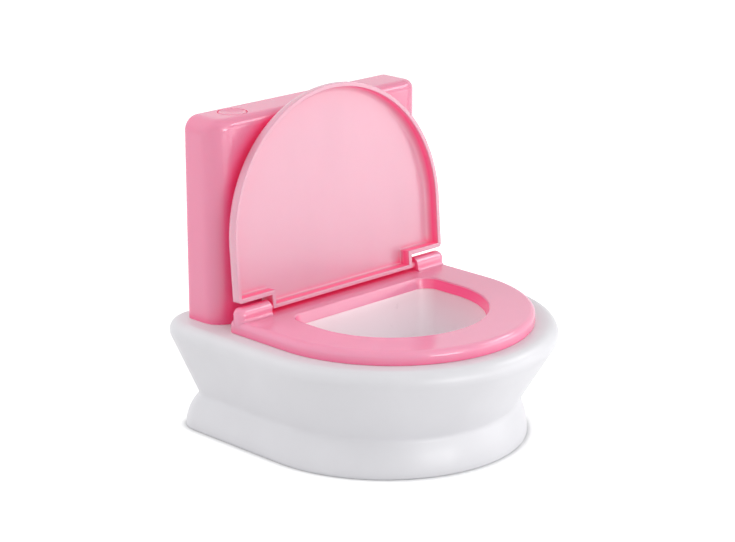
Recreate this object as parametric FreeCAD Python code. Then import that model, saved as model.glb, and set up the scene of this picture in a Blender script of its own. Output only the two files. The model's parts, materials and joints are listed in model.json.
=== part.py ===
"""Toilet-shaped potty chair at doll scale: pedestal, bowl, seat, lid and a cistern with a sound unit.

Millimetres. +Z is up, the front faces -Y, and the origin is on the ground under the middle of the pedestal.
A D outline is a front semicircle, two straight sides and a straight back with rounded corners. It is held
as (half_width, centre_y, back_y, corner_r).
"""
import FreeCAD, Part
import math
import os

V = FreeCAD.Vector

# Pedestal
DECK_Z = 60.7               # top of the deck
WAIST_Z = 18.6
FOOT_SHOULDER_Z = 9.6
FOOT_UPRIGHT_Z = 5.0
DECK_EDGE_R = 6.0           # rolled edge of the deck
SHELL_T = 2.4
FOOT = (74.6, 4.1, 84.9, 14.0)
WAIST = (70.4, 4.4, 77.2, 11.0)
DECK = (89.3, -2.45, 88.97, 22.0)     # before its edge is rolled over
PLATE_Z = 1.4               # underside of the closing plate
PLATE_T = 2.4
PLATE_GAP = 0.35            # all round the plate

# Seat and bowl
SEAT_TOP_Z = 67.5
SEAT_T = 2.2
SEAT = (74.2, -0.5, 42.0, 4.0)
SEAT_EDGE_R = 3.1
MOUTH = (50.7, -0.4, 23.0, 9.3)
MOUTH_DRAFT = 1.5           # the mouth narrows by this much down its wall
MOUTH_EDGE_R = 1.0
MOUTH_WALL_T = 2.2
SEAT_BOSS_R = 3.0
SEAT_PILOT = 5.4            # depth of the pilot holes from the deck's top
FLANGE_T = 1.15             # the bowl's flange lies on the deck
FLANGE_GROW = 7.2
FLANGE_GAP = 0.05           # the mouth's wall and the seat's bosses stop this far above what they face
BOWL_T = 2.0
BOWL_FLOOR_Z = 20.0
BOWL_FLOOR = (37.0, -0.4, 12.5, 9.0)
BOWL_FLOOR_R = 6.0
DECK_HOLE_GAP = 1.2

# Hinge
HINGE_Y = 35.7
HINGE_Z = 70.3
BARREL_R = 4.1
BARREL_IN_X = 53.0
BARREL_END_R = 3.6
BARREL_TOE_R = 1.8
BORE_DEPTH = 6.5
STUB_R = 1.9
HINGE_CLEARANCE = 0.06
STUB_LEN = 7.6

# Lid, in its own frame: s runs up the open lid from the hinge, u points out of its dished side
LID_LEAN = 4.22             # degrees back from upright when open
LID_HALF = 73.5
LID_RIM_U = 2.41
LID_DEPTH = 9.0
LID_WALL = 2.3
LID_PLATE_T = 2.2
LID_STRAIGHT_S = 33.8
LID_TAB_HALF = 50.7
LID_TAB_S = -1.25
LID_NOTCH_S = 6.3
LID_EDGE_R = 6.8
LID_TAB_EDGE_R = 2.2
LID_CORNER_R = 2.0
LID_DISH_R = 3.2
LID_TOE_R = 0.9

# Cistern
TANK_HALF = 73.7
TANK_FRONT_Y = 50.0
TANK_BACK_Y = 75.2
TANK_TOP_Z = 167.4
TANK_T = 2.2
TANK_FRONT_R = 11.4
TANK_BACK_R = 4.0
TANK_TOP_R = 5.2            # round the front of the top
TANK_END_R = 8.0            # over the two ends of the top
PANEL_Y = 74.4              # outer face of the back panel
PANEL_GAP = 0.3
TANK_BOSS_H = 8.0           # height of the bosses that stand on the deck

# Button
BUTTON_X = -50.5
BUTTON_Y = 62.7
BUTTON_R = 7.4
BUTTON_HOLE_R = 7.75
BUTTON_PROUD = 0.15
BUTTON_EDGE_R = 0.8
BUTTON_DISH = 0.9
BUTTON_FLANGE_R = 8.6
BUTTON_FLANGE_EDGE_R = 0.6
BUTTON_FLANGE_T = 1.5
BUTTON_DISH_R = 6.4
STEM_R = 2.5
STEM_END_Z = 150.3
GUIDE_TOP_Z = 156.0
GUIDE_LEN = 4.5
GUIDE_R = 5.0
GUIDE_CLEARANCE = 0.06
SPRING_R = 4.0
SPRING_WIRE_R = 0.25
SPRING_TURNS = 4
PILL_R = 2.3
PILL_T = 1.6

# Sound board
BOARD_TOP_Z = 146.5
BOARD_T = 1.6
BOARD_X = (-68.0, -34.0)
BOARD_Y = (54.6, 71.0)
BOARD_SCREW_X = (-64.0, -38.0)
SHELF_HALF = 3.5            # the two shelves that hold the board
SHELF_T = 6.0
CHIP = (6.0, 5.0, 1.7)
CHIP_AT = (-46.5, 56.0)

# Speaker, on the back panel and facing out of it
SPEAKER_X = 40.0
SPEAKER_Z = 112.0
SPEAKER_R = 14.0
SPEAKER_LIP_T = 1.2
PAN_R = 11.0
PAN_DEPTH = 4.6
PAN_T = 0.8
CONE_DEPTH = 2.2
CONE_T = 0.3
MAGNET_R = 7.0
MAGNET_T = 3.2
CLAMP_R = 18.5
CLAMP_T = 1.3
CLAMP_SCREWS = 3
GRILLE_HOLE_R = 1.0
GRILLE_PITCH = 4.0
GRILLE_RINGS = 3            # counting the hole in the middle
CLAMP_POST_R = 1.9

# Batteries: three button cells in a row along X
CELL_R = 5.8
CELL_T = 5.4
CELLS = 3
CELL_Y = 65.6
CELL_Z = 92.0
BOX_HALF_X = 12.6
BOX_HALF_Z = 6.4
BOX_FRONT_Y = 58.6
BOX_WALL = 1.4
CONTACT_T = 0.3
CONTACT_GAP = 0.05
CONTACT_HALF_Z = 5.0
CELL_SPRING_R = 3.0
CELL_SPRING_WIRE_R = 0.3
CELL_SPRING_TURNS = 3
DOOR_HALF_X = 20.0
DOOR_HALF_Z = 10.0
DOOR_T = 1.6
DOOR_SINK = 1.05            # depth of the countersink in the door
DOOR_GAP = 0.25
DOOR_PAD = 2.0              # how much thicker and wider the panel is round the door
DOOR_SCREW_X = 16.4

# Screws and wires
SHANK_R = 1.25
PILOT_GAP = 0.05
HEAD_R = 2.5
HEAD_T = 1.4
HEAD_SINK_GAP = 0.1         # a sunk head stands this far inside its hollow
SLOT_R = 0.9
POINT_LEN = 2.0
POINT_R = 0.3
BOSS_R = 3.4
PASS_GAP = 0.2              # round a shank where it passes through
TOUCH = 0.02                # between parts that rest on one another
BASE_SCREW_LEN = 9.0
DECK_SCREW_LEN = 3.6
PANEL_SCREW_LEN = 8.0
BOARD_SCREW_LEN = 5.0
SPEAKER_SHANK_R = 0.8
WIRE_R = 0.55
WIRE_HOLE_IN = 1.6          # from the compartment's front wall to the wires' holes
COIL_STEPS = 20             # facets round one turn of a spring
COIL_SIDES = 8              # facets round its wire

BASE_SCREWS = [(37.3, -44.4), (50.0, 60.0)]        # mirrored in X
SEAT_SCREWS = [(45.6, -46.1), (64.6, 18.0)]        # mirrored in X
CISTERN_SCREWS = [(63.0, 62.0)]                    # mirrored in X
PANEL_SCREWS = [(63.0, 82.0), (63.0, 154.0)]       # (x, z), mirrored in X


def inset(outline, d):
    """The D outline moved inwards by d all round (outwards when d is negative)."""
    half, centre_y, back_y, corner_r = outline
    return (half - d, centre_y, back_y - d, max(corner_r - d, 0.6))


def between(low, high, t):
    """The D outline a fraction t of the way from low to high."""
    return tuple(a + (b - a) * t for a, b in zip(low, high))


def d_wire(outline, z):
    half, cy, back, r = outline
    q = r * (1 - math.sqrt(0.5))
    edges = [
        Part.Arc(V(-half, cy, z), V(0, cy - half, z), V(half, cy, z)).toShape(),
        Part.makeLine(V(half, cy, z), V(half, back - r, z)),
        Part.Arc(V(half, back - r, z), V(half - q, back - q, z), V(half - r, back, z)).toShape(),
        Part.makeLine(V(half - r, back, z), V(r - half, back, z)),
        Part.Arc(V(r - half, back, z), V(q - half, back - q, z), V(-half, back - r, z)).toShape(),
        Part.makeLine(V(-half, back - r, z), V(-half, cy, z)),
    ]
    return Part.Wire(edges)


def d_prism(outline, z0, z1):
    return Part.Face(d_wire(outline, z0)).extrude(V(0, 0, z1 - z0))


def d_loft(stations):
    """A solid with straight walls between (outline, z) stations."""
    return Part.makeLoft([d_wire(outline, z) for outline, z in stations], True, True)


def rod(radius, start, end):
    return Part.makeCylinder(radius, (end - start).Length, start, end - start)


def block(x0, x1, y0, y1, z0, z1):
    return Part.makeBox(x1 - x0, y1 - y0, z1 - z0, V(x0, y0, z0))


def both_sides(points):
    return [(side * x, other) for x, other in points for side in (1, -1)]


def edges_where(shape, test):
    """Edges whose two ends and middle all pass the test."""
    picked = []
    for edge in shape.Edges:
        middle = edge.valueAt((edge.FirstParameter + edge.LastParameter) / 2)
        if all(test(p) for p in [v.Point for v in edge.Vertexes] + [middle]):
            picked.append(edge)
    return picked


def near(a, b, tolerance=0.01):
    return abs(a - b) < tolerance


def screw(tip, direction, shank_len):
    """A pan-head screw: tip is where the shank leaves the head, direction is the way it is driven."""
    head = rod(HEAD_R, tip - direction * HEAD_T, tip)
    slot = rod(SLOT_R, tip - direction * HEAD_T, tip - direction * HEAD_T * 0.45)
    point = Part.makeCone(SHANK_R, POINT_R, POINT_LEN, tip + direction * shank_len, direction)
    shank = rod(SHANK_R, tip, tip + direction * shank_len)
    return head.cut(slot).fuse([shank, point]).removeSplitter()


def screw_hole(tip, direction, depth):
    return rod(SHANK_R + PILOT_GAP, tip, tip + direction * depth)


def tube(points, radius):
    """A wire's solid: straight runs joined by tangent arcs as large as the runs allow."""
    edges = []
    start = points[0]
    length = 0.0
    for before, corner, after in zip(points, points[1:], points[2:]):
        back = (before - corner).normalize()
        ahead = (after - corner).normalize()
        half_turn = (math.pi - back.getAngle(ahead)) / 2
        reach = 0.45 * min((before - corner).Length, (after - corner).Length)
        bend = reach / math.tan(half_turn)
        entry = corner + back * reach
        leave = corner + ahead * reach
        centre_way = (back + ahead).normalize()
        middle = corner + centre_way * (bend / math.cos(half_turn) - bend)
        edges.append(Part.makeLine(start, entry))
        edges.append(Part.Arc(entry, middle, leave).toShape())
        length += (entry - start).Length + bend * 2 * half_turn
        print("bend radius", round(bend, 2))
        start = leave
    edges.append(Part.makeLine(start, points[-1]))
    length += (points[-1] - start).Length
    first_way = (points[1] - points[0]).normalize()
    section = Part.Wire(Part.makeCircle(radius, points[0], first_way))
    solid = Part.Wire(edges).makePipeShell([section], True, True)
    ratio = solid.Volume / (math.pi * radius ** 2 * length)
    print("wire volume over section times length", round(ratio, 4))
    return solid


def coil(radius, wire_r, height, turns, base, direction):
    """A spring of faceted wire that stands on base and is height tall along direction."""
    steps = turns * COIL_STEPS
    points = []
    for step in range(steps + 1):
        angle = 2 * math.pi * step / COIL_STEPS
        outwards = V(math.cos(angle), math.sin(angle), 0)
        centre = outwards * radius + V(0, 0, wire_r + (height - 2 * wire_r) * step / steps)
        for side in range(COIL_SIDES):
            around = 2 * math.pi * side / COIL_SIDES
            points.append(centre + (outwards * math.cos(around) + V(0, 0, math.sin(around))) * wire_r)
    facets = []
    for step in range(steps):
        for side in range(COIL_SIDES):
            a = step * COIL_SIDES + side
            b = step * COIL_SIDES + (side + 1) % COIL_SIDES
            facets.append((a, b, b + COIL_SIDES))
            facets.append((a, b + COIL_SIDES, a + COIL_SIDES))
    last = steps * COIL_SIDES
    for side in range(1, COIL_SIDES - 1):
        facets.append((0, side + 1, side))
        facets.append((last, last + side, last + side + 1))
    skin = Part.Shape()
    skin.makeShapeFromMesh((points, facets), 0.001)
    spring = Part.makeSolid(skin)
    if spring.Volume < 0:
        spring.reverse()
    spring.Placement = FreeCAD.Placement(base, FreeCAD.Rotation(V(0, 0, 1), direction))
    return spring


def pedestal_body(gap, floor_z, top_z):
    """The pedestal's form moved in by gap, from floor_z up to top_z."""
    deck_t = (top_z - WAIST_Z) / (DECK_Z - WAIST_Z)
    stations = [
        (inset(FOOT, gap), floor_z),
        (inset(between(WAIST, FOOT, 0.97), gap), FOOT_UPRIGHT_Z),
        (inset(between(WAIST, FOOT, 0.80), gap), FOOT_SHOULDER_Z),
        (inset(WAIST, gap), WAIST_Z),
        (inset(between(WAIST, DECK, deck_t), gap), top_z),
    ]
    return d_loft(stations)


def base_shell():
    body = pedestal_body(0.0, 0.0, DECK_Z)
    body = body.makeFillet(DECK_EDGE_R, edges_where(body, lambda p: near(p.z, DECK_Z)))
    under = DECK_Z - SHELL_T
    room = pedestal_body(SHELL_T, -1.0, under)
    room = room.makeFillet(DECK_EDGE_R - SHELL_T + 1.0, edges_where(room, lambda p: near(p.z, under)))
    body = body.cut(room)
    plate_top = PLATE_Z + PLATE_T
    bosses = [rod(BOSS_R, V(x, y, plate_top), V(x, y, under + 0.5)) for x, y in both_sides(BASE_SCREWS)]
    body = body.fuse(bosses)
    cuts = [d_prism(inset(mouth_bottom(), -BOWL_T - DECK_HOLE_GAP), under - 1, DECK_Z + 1)]
    cuts += [screw_hole(V(x, y, plate_top - 1), V(0, 0, 1), 14) for x, y in both_sides(BASE_SCREWS)]
    held_above = both_sides(SEAT_SCREWS) + both_sides(CISTERN_SCREWS)
    cuts += [rod(SHANK_R + PASS_GAP, V(x, y, under - 1), V(x, y, DECK_Z + 1)) for x, y in held_above]
    return body.cut(cuts)


def base_plate():
    plate = d_prism(inset(FOOT, SHELL_T + PLATE_GAP), PLATE_Z, PLATE_Z + PLATE_T)
    tip_z = PLATE_Z + HEAD_T + HEAD_SINK_GAP
    hollows = []
    for x, y in both_sides(BASE_SCREWS):
        hollows.append(rod(HEAD_R + 2 * PASS_GAP, V(x, y, PLATE_Z - 1), V(x, y, tip_z)))
        hollows.append(rod(SHANK_R + PASS_GAP, V(x, y, PLATE_Z), V(x, y, PLATE_Z + PLATE_T + 1)))
    return plate.cut(hollows)


def base_screws():
    tip_z = PLATE_Z + HEAD_T + HEAD_SINK_GAP
    places = both_sides(BASE_SCREWS)
    return Part.makeCompound([screw(V(x, y, tip_z), V(0, 0, 1), BASE_SCREW_LEN) for x, y in places])


def under_deck_screws(places):
    tip_z = DECK_Z - SHELL_T
    screws = [screw(V(x, y, tip_z), V(0, 0, 1), DECK_SCREW_LEN) for x, y in both_sides(places)]
    return Part.makeCompound(screws)


def mouth_bottom():
    return inset(MOUTH, MOUTH_DRAFT)


def bowl_liner():
    flange_z = DECK_Z + TOUCH
    top_z = flange_z + FLANGE_T
    mouth = mouth_bottom()
    under_floor = BOWL_FLOOR_Z - BOWL_T
    outer = d_loft([(inset(BOWL_FLOOR, -BOWL_T), under_floor), (inset(mouth, -BOWL_T), top_z)])
    outer = outer.makeFillet(BOWL_FLOOR_R + BOWL_T, edges_where(outer, lambda p: near(p.z, under_floor)))
    inner = d_loft([(BOWL_FLOOR, BOWL_FLOOR_Z), (mouth, top_z)])
    inner = inner.makeFillet(BOWL_FLOOR_R, edges_where(inner, lambda p: near(p.z, BOWL_FLOOR_Z)))
    flange = d_prism(inset(mouth, -FLANGE_GROW), flange_z, top_z)
    return outer.fuse(flange).cut(inner).removeSplitter()


def seat_barrel(side):
    """One hinge barrel with its foot, rounded at its outer end, still without its bore."""
    inner = V(side * BARREL_IN_X, HINGE_Y, HINGE_Z)
    outer = V(side * SEAT[0], HINGE_Y, HINGE_Z)
    low, high = sorted((inner.x, outer.x))
    foot_z = SEAT_TOP_Z - SEAT_EDGE_R - 0.5
    foot = block(low, high, HINGE_Y - BARREL_R, HINGE_Y + BARREL_R, foot_z, HINGE_Z)
    barrel = rod(BARREL_R, inner, outer).fuse(foot).removeSplitter()
    end = [e for e in edges_where(barrel, lambda p: near(p.x, outer.x)) if e.CenterOfMass.z > foot_z + 0.1]
    return barrel.makeFillet(BARREL_END_R, end)


def barrel_toes(side):
    """The hollow-rounded toes that blend a barrel's foot into the seat in front and behind."""
    low, high = sorted((side * BARREL_IN_X, side * (SEAT[0] - BARREL_END_R)))
    reach = BARREL_R + BARREL_TOE_R
    toes = block(low, high, HINGE_Y - reach, HINGE_Y + reach, SEAT_TOP_Z - 0.5, SEAT_TOP_Z + BARREL_TOE_R)
    for way in (1, -1):
        y = HINGE_Y + way * reach
        toes = toes.cut(rod(BARREL_TOE_R, V(low - 1, y, SEAT_TOP_Z + BARREL_TOE_R),
                            V(high + 1, y, SEAT_TOP_Z + BARREL_TOE_R)))
    return toes


def seat():
    ring = d_prism(SEAT, DECK_Z + TOUCH, SEAT_TOP_Z)
    ring = ring.makeFillet(SEAT_EDGE_R, edges_where(ring, lambda p: near(p.z, SEAT_TOP_Z)))
    ceiling = SEAT_TOP_Z - SEAT_T
    flange_top = DECK_Z + FLANGE_T + FLANGE_GAP
    ring = ring.cut(d_loft([(mouth_bottom(), flange_top), (MOUTH, SEAT_TOP_Z)]))
    rim = edges_where(ring, lambda p: near(p.z, SEAT_TOP_Z) and p.y < MOUTH[2] + 0.1 and
                      math.hypot(p.x, min(p.y - MOUTH[1], 0)) < MOUTH[0] + 0.1)
    ring = ring.makeFillet(MOUTH_EDGE_R, rim)
    hollow = d_prism(inset(SEAT, SEAT_T), DECK_Z - 1, ceiling)
    wall = d_loft([(inset(mouth_bottom(), -MOUTH_WALL_T), flange_top),
                   (inset(MOUTH, -MOUTH_WALL_T), SEAT_TOP_Z)])
    ring = ring.cut(hollow.cut(wall))
    ring = ring.cut(d_prism(inset(mouth_bottom(), -MOUTH_WALL_T - 1), DECK_Z - 1, flange_top))
    added = [rod(SEAT_BOSS_R, V(x, y, DECK_Z + FLANGE_GAP), V(x, y, ceiling + 0.5))
             for x, y in both_sides(SEAT_SCREWS)]
    for side in (1, -1):
        added += [seat_barrel(side), barrel_toes(side)]
    ring = ring.fuse(added)
    cuts = [screw_hole(V(x, y, DECK_Z), V(0, 0, 1), SEAT_PILOT) for x, y in both_sides(SEAT_SCREWS)]
    for side in (1, -1):
        mouth = V(side * (BARREL_IN_X - 1), HINGE_Y, HINGE_Z)
        cuts.append(rod(STUB_R + HINGE_CLEARANCE, mouth, mouth + V(side * (BORE_DEPTH + 1), 0, 0)))
    return ring.cut(cuts).removeSplitter()


def lid_outline(gap):
    """The lid's outline in (x, s), moved in by gap, with its two bottom notches."""
    half = LID_HALF - gap
    tab = LID_TAB_HALF - gap
    notch = LID_NOTCH_S + gap
    foot = LID_TAB_S + gap
    straight = LID_STRAIGHT_S
    corners = [V(-half, straight, 0), V(-half, notch, 0), V(-tab, notch, 0), V(-tab, foot, 0),
               V(tab, foot, 0), V(tab, notch, 0), V(half, notch, 0), V(half, straight, 0)]
    edges = [Part.makeLine(a, b) for a, b in zip(corners, corners[1:])]
    edges.append(Part.Arc(corners[-1], V(0, straight + half, 0), corners[0]).toShape())
    return Part.Wire(edges)


def lid():
    """Built lying on its back: x across, y is s and z is u. It is then stood up at the hinge."""
    rim = LID_RIM_U
    back = rim - LID_DEPTH
    body = Part.Face(lid_outline(0.0)).extrude(V(0, 0, LID_DEPTH))
    body.translate(V(0, 0, back))
    corners = edges_where(body, lambda p: near(abs(p.x), LID_HALF) and near(p.y, LID_NOTCH_S))
    body = body.makeFillet(LID_CORNER_R, corners)
    curved = edges_where(body, lambda p: near(p.z, back) and p.y > LID_NOTCH_S + LID_CORNER_R - 0.1 and
                         (near(abs(p.x), LID_HALF) or p.y > LID_STRAIGHT_S - 0.1))
    body = body.makeFillet(LID_EDGE_R, curved)
    floor = back + LID_PLATE_T
    dish = Part.Face(lid_outline(LID_WALL)).extrude(V(0, 0, rim + 1 - floor))
    dish.translate(V(0, 0, floor))
    dish = dish.makeFillet(LID_DISH_R, edges_where(dish, lambda p: near(p.z, floor) and
                                                   (near(abs(p.x), LID_HALF - LID_WALL) or
                                                    p.y > LID_STRAIGHT_S - 0.1)))
    body = body.cut(dish)
    tab_back = edges_where(body, lambda p: near(p.z, back) and near(p.y, LID_TAB_S))
    body = body.makeFillet(LID_TAB_EDGE_R, tab_back)
    tab_toe = edges_where(body, lambda p: near(p.z, rim) and near(p.y, LID_TAB_S))
    body = body.makeFillet(LID_TOE_R, tab_toe)
    for side in (1, -1):
        root = V(side * (LID_TAB_HALF - 2.0), 0, 0)
        stub = rod(STUB_R, root, root + V(side * (2.0 + STUB_LEN), 0, 0))
        tip = edges_where(stub, lambda p: near(abs(p.x), LID_TAB_HALF + STUB_LEN))
        body = body.fuse(stub.makeFillet(0.6, tip))
    body = body.removeSplitter()
    body.rotate(V(0, 0, 0), V(1, 0, 0), 90.0 - LID_LEAN)
    body.translate(V(0, HINGE_Y, HINGE_Z))
    return body


def tank_form(wall, low_z, back_y):
    """The cistern's form moved in by wall, open below and behind: an evenly grown core with round edges."""
    half = TANK_HALF - TANK_TOP_R
    front = TANK_FRONT_Y + TANK_TOP_R
    top = TANK_TOP_Z - TANK_TOP_R
    core = (-half, half, front, back_y + 20, low_z - 20, top)
    plan = block(*core)
    uprights = edges_where(plan, lambda p: near(p.y, front) and near(abs(p.x), half))
    plan = plan.makeFillet(TANK_FRONT_R - TANK_TOP_R, uprights)
    face = block(*core)
    ends = edges_where(face, lambda p: near(p.z, top) and near(abs(p.x), half))
    face = face.makeFillet(TANK_END_R - TANK_TOP_R, ends)
    grown = plan.common(face).makeOffsetShape(TANK_TOP_R - wall, 0.001, join=0)
    reach = TANK_HALF + 1
    return grown.common(block(-reach, reach, TANK_FRONT_Y - 1, back_y, low_z, TANK_TOP_Z + 1))


def tank_front():
    low_z = DECK_Z + TOUCH
    body = tank_form(0.0, low_z, TANK_BACK_Y)
    rear = [e for e in edges_where(body, lambda p: near(p.y, TANK_BACK_Y)) if e.CenterOfMass.z > low_z + 1]
    body = body.makeFillet(TANK_BACK_R, rear)
    inner_top = TANK_TOP_Z - TANK_T
    front_y = TANK_FRONT_Y + TANK_T
    inner_x = TANK_HALF - TANK_T
    body = body.cut(tank_form(TANK_T, DECK_Z - 1, TANK_BACK_Y + 1))

    panel_y = PANEL_Y - TANK_T
    solids = []
    cuts = []
    for x, z in both_sides(PANEL_SCREWS):
        solids.append(rod(BOSS_R, V(x, front_y - 1, z), V(x, panel_y, z)))
        cuts.append(screw_hole(V(x, panel_y + 1, z), V(0, -1, 0), PANEL_SCREW_LEN + 5))
    for x, y in both_sides(CISTERN_SCREWS):
        side = math.copysign(1, x)
        solids.append(rod(BOSS_R, V(x, y, DECK_Z + TOUCH), V(x, y, DECK_Z + TANK_BOSS_H)))
        low, high = sorted((x, side * (inner_x + 1)))
        solids.append(block(low, high, y - 1, y + 1, DECK_Z + TOUCH, DECK_Z + TANK_BOSS_H))
        cuts.append(screw_hole(V(x, y, DECK_Z - 1), V(0, 0, 1), TANK_BOSS_H - 0.4))
    board_under = BOARD_TOP_Z - BOARD_T
    half = SHELF_HALF
    for x in BOARD_SCREW_X:
        shelf = block(x - half, x + half, front_y - 1, BUTTON_Y + half, board_under - SHELF_T, board_under)
        solids.append(shelf)
        cuts.append(screw_hole(V(x, BUTTON_Y, board_under + 1), V(0, 0, -1), SHELF_T + 0.5))
    guide_low = GUIDE_TOP_Z - GUIDE_LEN
    solids.append(block(BUTTON_X - 3, BUTTON_X + 3, front_y - 1, BUTTON_Y, GUIDE_TOP_Z - 2.5, GUIDE_TOP_Z))
    solids.append(rod(GUIDE_R, V(BUTTON_X, BUTTON_Y, guide_low), V(BUTTON_X, BUTTON_Y, GUIDE_TOP_Z)))
    at = V(BUTTON_X, BUTTON_Y, 0)
    cuts.append(rod(STEM_R + GUIDE_CLEARANCE, at + V(0, 0, guide_low - 1), at + V(0, 0, GUIDE_TOP_Z + 1)))
    cuts.append(rod(BUTTON_HOLE_R, at + V(0, 0, inner_top - 1), at + V(0, 0, TANK_TOP_Z + 1)))
    return body.fuse(solids).cut(cuts).removeSplitter()


def tank_back():
    inner_y = PANEL_Y - TANK_T
    half = TANK_HALF - TANK_T - PANEL_GAP
    top = TANK_TOP_Z - TANK_T - PANEL_GAP
    panel = block(-half, half, inner_y + TOUCH, PANEL_Y, DECK_Z + PANEL_GAP, top)
    corners = edges_where(panel, lambda p: near(abs(p.x), half) and near(p.z, top))
    panel = panel.makeFillet(TANK_END_R - TANK_T - PANEL_GAP + 0.1, corners)
    outer_x = BOX_HALF_X + BOX_WALL
    outer_z = BOX_HALF_Z + BOX_WALL
    pad_x = DOOR_HALF_X + DOOR_PAD
    pad_z = DOOR_HALF_Z + DOOR_PAD
    pad_y = inner_y - DOOR_PAD
    solids = [
        block(-pad_x, pad_x, pad_y, PANEL_Y - 0.5, CELL_Z - pad_z, CELL_Z + pad_z),
        block(-outer_x, outer_x, BOX_FRONT_Y - BOX_WALL, pad_y + 0.5, CELL_Z - outer_z, CELL_Z + outer_z),
        rod(BOSS_R - 0.6, V(DOOR_SCREW_X, inner_y - 7, CELL_Z), V(DOOR_SCREW_X, pad_y + 0.5, CELL_Z)),
    ]
    centre = V(SPEAKER_X, 0, SPEAKER_Z)
    for turn in range(CLAMP_SCREWS):
        at = clamp_screw_place(turn)
        top_y = inner_y - SPEAKER_LIP_T - 0.05
        solids.append(rod(CLAMP_POST_R, V(at.x, top_y, at.z), V(at.x, inner_y + 0.5, at.z)))
    panel = panel.fuse(solids)

    door_y = PANEL_Y - DOOR_T - 0.1
    cuts = [
        block(-DOOR_HALF_X - DOOR_GAP, DOOR_HALF_X + DOOR_GAP, door_y, PANEL_Y + 1,
              CELL_Z - DOOR_HALF_Z - DOOR_GAP, CELL_Z + DOOR_HALF_Z + DOOR_GAP),
        block(-BOX_HALF_X, BOX_HALF_X, BOX_FRONT_Y, PANEL_Y + 1, CELL_Z - BOX_HALF_Z, CELL_Z + BOX_HALF_Z),
        screw_hole(V(DOOR_SCREW_X, door_y + 1, CELL_Z), V(0, -1, 0), 9.0),
    ]
    for x in (-wire_hole_x(), wire_hole_x()):
        hole = V(x, BOX_FRONT_Y + WIRE_HOLE_IN, CELL_Z)
        cuts.append(rod(WIRE_R + 0.15, hole, hole + V(0, 0, outer_z + 1)))
    for x, z in both_sides(PANEL_SCREWS):
        cuts.append(rod(SHANK_R + PASS_GAP, V(x, inner_y - 1, z), V(x, PANEL_Y + 1, z)))
        cuts.append(rod(HEAD_R + 0.35, V(x, PANEL_Y - HEAD_T, z), V(x, PANEL_Y + 1, z)))
    for ring in range(GRILLE_RINGS):
        for step in range(max(1, 6 * ring)):
            angle = 2 * math.pi * step / max(1, 6 * ring)
            hole = centre + V(math.cos(angle), 0, math.sin(angle)) * (GRILLE_PITCH * ring)
            cuts.append(rod(GRILLE_HOLE_R, V(hole.x, inner_y - 1, hole.z), V(hole.x, PANEL_Y + 1, hole.z)))
    for turn in range(CLAMP_SCREWS):
        at = clamp_screw_place(turn)
        pilot_r = SPEAKER_SHANK_R + PILOT_GAP
        cuts.append(rod(pilot_r, V(at.x, inner_y - 4, at.z), V(at.x, inner_y + 1.0, at.z)))
    return panel.cut(cuts).removeSplitter()


def tank_screws():
    tip_y = PANEL_Y - HEAD_T
    screws = [screw(V(x, tip_y, z), V(0, -1, 0), PANEL_SCREW_LEN) for x, z in both_sides(PANEL_SCREWS)]
    return Part.makeCompound(screws)


def flange_top_z():
    return TANK_TOP_Z - TANK_T - 0.1


def flush_button():
    top = TANK_TOP_Z + BUTTON_PROUD
    flange_top = flange_top_z()
    axis = V(BUTTON_X, BUTTON_Y, 0)
    cap = rod(BUTTON_R, axis + V(0, 0, flange_top - 0.5), axis + V(0, 0, top))
    cap = cap.makeFillet(BUTTON_EDGE_R, edges_where(cap, lambda p: near(p.z, top)))
    ball_r = (BUTTON_DISH_R ** 2 + BUTTON_DISH ** 2) / (2 * BUTTON_DISH)
    dish = Part.makeSphere(ball_r, axis + V(0, 0, top - BUTTON_DISH + ball_r))
    cap = cap.cut(dish)
    flange_low = flange_top - BUTTON_FLANGE_T
    flange = rod(BUTTON_FLANGE_R, axis + V(0, 0, flange_low), axis + V(0, 0, flange_top))
    flange = flange.makeFillet(BUTTON_FLANGE_EDGE_R, edges_where(flange, lambda p: near(p.z, flange_top)))
    stem = rod(STEM_R, axis + V(0, 0, STEM_END_Z), axis + V(0, 0, flange_low))
    return cap.fuse([flange, stem]).removeSplitter()


def button_spring():
    height = flange_top_z() - BUTTON_FLANGE_T - GUIDE_TOP_Z - 2 * TOUCH
    base = V(BUTTON_X, BUTTON_Y, GUIDE_TOP_Z + TOUCH)
    return coil(SPRING_R, SPRING_WIRE_R, height, SPRING_TURNS, base, V(0, 0, 1))


def contact_pill():
    end = V(BUTTON_X, BUTTON_Y, STEM_END_Z)
    return rod(PILL_R, end - V(0, 0, PILL_T), end)


def sound_board():
    under = BOARD_TOP_Z - BOARD_T
    board = block(BOARD_X[0], BOARD_X[1], BOARD_Y[0], BOARD_Y[1], under + 0.01, BOARD_TOP_Z)
    holes = [rod(SHANK_R + PASS_GAP, V(x, BUTTON_Y, under - 1), V(x, BUTTON_Y, BOARD_TOP_Z + 1))
             for x in BOARD_SCREW_X]
    return board.cut(holes)


def board_screws():
    tips = [V(x, BUTTON_Y, BOARD_TOP_Z + 0.01) for x in BOARD_SCREW_X]
    return Part.makeCompound([screw(tip, V(0, 0, -1), BOARD_SCREW_LEN) for tip in tips])


def sound_chip():
    x, y = CHIP_AT
    return block(x, x + CHIP[0], y, y + CHIP[1], BOARD_TOP_Z + 0.01, BOARD_TOP_Z + CHIP[2])


def clamp_screw_place(turn):
    angle = 2 * math.pi * turn / CLAMP_SCREWS + math.pi / 2
    return V(SPEAKER_X, 0, SPEAKER_Z) + V(math.cos(angle), 0, math.sin(angle)) * (SPEAKER_R + 2.3)


def speaker_rod(radius, y0, y1):
    return rod(radius, V(SPEAKER_X, y0, SPEAKER_Z), V(SPEAKER_X, y1, SPEAKER_Z))


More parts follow.
